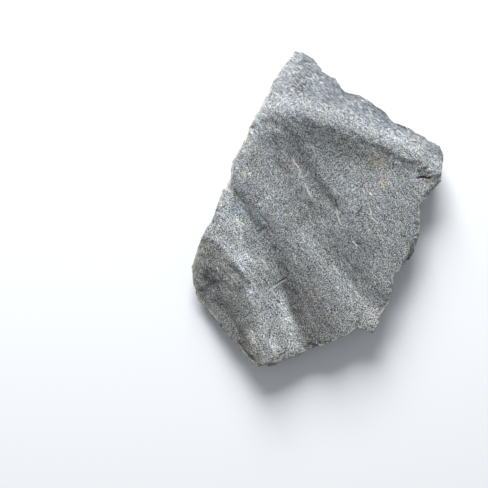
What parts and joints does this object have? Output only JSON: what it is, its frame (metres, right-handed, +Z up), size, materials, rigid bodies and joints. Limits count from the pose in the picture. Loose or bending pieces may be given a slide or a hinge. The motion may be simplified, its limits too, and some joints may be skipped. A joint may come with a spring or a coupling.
{
  "type": "phyllite slab",
  "caption": "Hand-sized slab of grey phyllite, split along its cleavage, with a ridge near the pointed end, a low step on one side and broken layered edges.",
  "frame": {"origin": "on the surface the slab rests on, at the middle of its plan", "axes": "+Z up from the resting face through the slab's thickness, +Y along its length towards the pointed end, +X to the right of that"},
  "size_m": [0.0908, 0.1152, 0.0174],
  "materials": {
    "phyllite": "fine grained silvery grey rock with a faint silky sheen and a warm weathered rim"
  },
  "bodies": {
    "root": {"phyllite_slab": "phyllite"}
  },
  "joints": []
}
